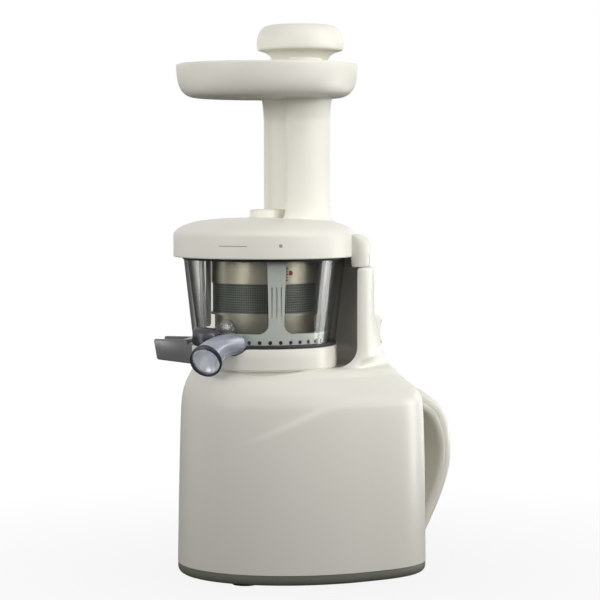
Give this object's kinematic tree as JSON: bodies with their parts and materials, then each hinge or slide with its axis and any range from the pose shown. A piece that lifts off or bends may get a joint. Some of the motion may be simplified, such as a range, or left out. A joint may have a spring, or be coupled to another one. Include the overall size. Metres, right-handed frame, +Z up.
{
  "type": "cold press juicer",
  "caption": "Upright cold press juicer with a smoky drum on a motor housing, a feed chute with a round tray and pusher, two spouts, and a loop handle at the back.",
  "frame": {"origin": "on the table, under the middle of the machine's box", "axes": "+Z up; -X is the front with the two spouts, +X the back with the column and handle"},
  "size_m": [0.2249, 0.16, 0.401],
  "materials": {
    "shell_plastic": "glossy moulded ABS, warm ivory",
    "pan_plastic": "fine-grained moulded ABS, dark olive grey",
    "grip_plastic": "satin moulded ABS, beige",
    "dark_plastic": "moulded nylon, black",
    "switch_plastic": "moulded nylon, grey",
    "smoky_clear": "moulded clear copolyester, smoke grey",
    "blue_clear": "moulded clear copolyester, blue grey",
    "brush_plastic": "translucent moulded polypropylene, pale grey",
    "gear_plastic": "moulded acetal, off white",
    "auger_plastic": "moulded polyetherimide, dark beige",
    "strainer_steel": "rolled stainless steel",
    "mesh_steel": "perforated stainless steel, wet and dark",
    "steel": "turned and ground steel",
    "laminated_steel": "stacked electrical steel",
    "copper": "enamelled copper wire",
    "bronze": "oil-filled sintered bronze",
    "rubber": "moulded black rubber",
    "silicone": "moulded grey silicone",
    "board": "printed glass-fibre board",
    "film_capacitor": "wrapped polyester film"
  },
  "bodies": {
    "base": {"body_shell": "shell_plastic", "column": "shell_plastic", "drum_seat": "shell_plastic", "base_pan": "pan_plastic", "feet": "rubber", "pan_screws": "steel", "handle_inner": "grip_plastic", "handle_outer": "shell_plastic", "handle_screws": "steel", "switch_bezel": "shell_plastic", "rocker_pin": "steel", "switch_block": "dark_plastic", "cord_gland": "rubber", "circuit_board": "board", "capacitor": "film_capacitor", "micro_switch": "dark_plastic", "plunger_spring": "steel", "motor_stator": "laminated_steel", "motor_windings": "copper", "motor_top_bracket": "steel", "motor_bottom_bracket": "steel", "motor_bolts": "steel", "motor_bushes": "bronze", "gearbox_housing": "gear_plastic", "gearbox_cover": "gear_plastic", "gearbox_screws": "steel", "idler_pin": "steel", "output_bushes": "bronze", "shaft_seal": "rubber"},
    "rocker": {"rocker": "switch_plastic"},
    "plunger": {"lock_plunger": "gear_plastic"},
    "rotor": {"rotor_core": "laminated_steel", "rotor_shaft": "steel", "cooling_fan": "dark_plastic", "motor_pinion": "steel"},
    "idler": {"idler_gear": "gear_plastic"},
    "drive": {"output_gear": "steel", "drive_shaft": "steel"},
    "drum": {"bowl": "smoky_clear", "juice_spout": "blue_clear", "pulp_spout": "smoky_clear", "pulp_plug": "silicone", "bowl_seal": "silicone", "strainer_frame": "strainer_steel", "strainer_mesh": "mesh_steel"},
    "planet_a": {"planet_gear_a": "gear_plastic"},
    "planet_b": {"planet_gear_b": "gear_plastic"},
    "brush": {"brush_frame": "brush_plastic", "brush_wipers": "silicone"},
    "auger": {"auger": "auger_plastic"},
    "lid_seal": {"lid_gasket": "silicone"},
    "lid": {"lid": "shell_plastic", "lid_bush": "bronze"},
    "tray": {"tray": "shell_plastic", "tray_sleeve": "shell_plastic"},
    "pusher": {"pusher": "shell_plastic"}
  },
  "joints": [
    {"name": "rotor_spin", "type": "hinge", "parent": "base", "child": "rotor", "pos_m": [0.00605, 0, 0.06], "axis": [0, 0, 1], "continuous": true},
    {"name": "idler_spin", "type": "hinge", "parent": "base", "child": "idler", "pos_m": [-0.00035, 0.03543, 0.11], "axis": [0, 0, 1], "continuous": true},
    {"name": "drive_spin", "type": "hinge", "parent": "base", "child": "drive", "pos_m": [-0.0411, 0, 0.12], "axis": [0, 0, 1], "continuous": true},
    {"name": "rocker_tilt", "type": "hinge", "parent": "base", "child": "rocker", "pos_m": [0.0444, 0, 0.175], "axis": [0, 1, 0], "range_deg": [-7, 7]},
    {"name": "plunger_press", "type": "slide", "parent": "base", "child": "plunger", "axis": [0, 0, 1], "range_m": [-0.003, 0], "stiffness_N_per_m": 150, "springref_m": 0.006, "deforming": ["plunger_spring"]},
    {"name": "drum_lift", "type": "slide", "parent": "base", "child": "drum", "axis": [0, 0, 1], "range_m": [0, 0.1]},
    {"name": "planet_a_spin", "type": "hinge", "parent": "drum", "child": "planet_a", "pos_m": [-0.01728, 0.01375, 0.172], "axis": [0, 0, 1], "continuous": true},
    {"name": "planet_b_spin", "type": "hinge", "parent": "drum", "child": "planet_b", "pos_m": [-0.06492, -0.01375, 0.172], "axis": [0, 0, 1], "continuous": true},
    {"name": "brush_spin", "type": "hinge", "parent": "drum", "child": "brush", "pos_m": [-0.0411, 0, 0.172], "axis": [0, 0, 1], "continuous": true},
    {"name": "auger_spin", "type": "hinge", "parent": "drum", "child": "auger", "pos_m": [-0.0411, 0, 0.172], "axis": [0, 0, 1], "continuous": true},
    {"name": "lid_twist", "type": "hinge", "parent": "drum", "child": "lid_seal", "pos_m": [-0.0411, 0, 0.247], "axis": [0, 0, 1], "range_deg": [0, 30]},
    {"name": "lid_lift", "type": "slide", "parent": "lid_seal", "child": "lid", "axis": [0, 0, 1], "range_m": [0, 0.12]},
    {"name": "tray_lift", "type": "slide", "parent": "lid", "child": "tray", "axis": [0, 0, 1], "range_m": [0, 0.05]},
    {"name": "pusher_lift", "type": "slide", "parent": "tray", "child": "pusher", "axis": [0, 0, 1], "range_m": [0, 0.11]}
  ],
  "couplings": [
    {"joint": "idler_spin", "follows": "rotor_spin", "ratio": -0.2},
    {"joint": "drive_spin", "follows": "rotor_spin", "ratio": 0.04},
    {"joint": "auger_spin", "follows": "rotor_spin", "ratio": 0.04},
    {"joint": "planet_a_spin", "follows": "rotor_spin", "ratio": -0.048},
    {"joint": "planet_b_spin", "follows": "rotor_spin", "ratio": -0.048},
    {"joint": "brush_spin", "follows": "rotor_spin", "ratio": -0.015}
  ]
}
